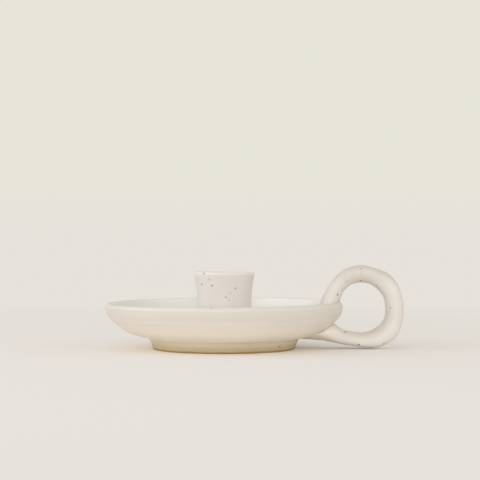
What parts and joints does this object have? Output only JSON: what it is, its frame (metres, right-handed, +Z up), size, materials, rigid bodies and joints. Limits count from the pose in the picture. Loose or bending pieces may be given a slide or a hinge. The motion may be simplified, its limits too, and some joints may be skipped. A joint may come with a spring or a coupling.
{
  "type": "chamberstick",
  "caption": "Stoneware chamberstick: round dish on a foot ring, flared cup for a dinner candle in its middle, and a strap finger loop from rim to underside.",
  "frame": {"origin": "the dish's axis on the plane that the foot ring stands on", "axes": "+Z up along the candle cup's bore, +X out through the middle of the finger loop, +Y to the far side seen with the loop at the right"},
  "size_m": [0.1758, 0.14, 0.0494],
  "materials": {
    "speckled_glaze": "satin off-white glaze with sparse iron specks over stoneware"
  },
  "bodies": {
    "root": {"dish": "speckled_glaze", "candle_cup": "speckled_glaze", "cup_seam": "speckled_glaze", "finger_loop": "speckled_glaze"}
  },
  "joints": []
}
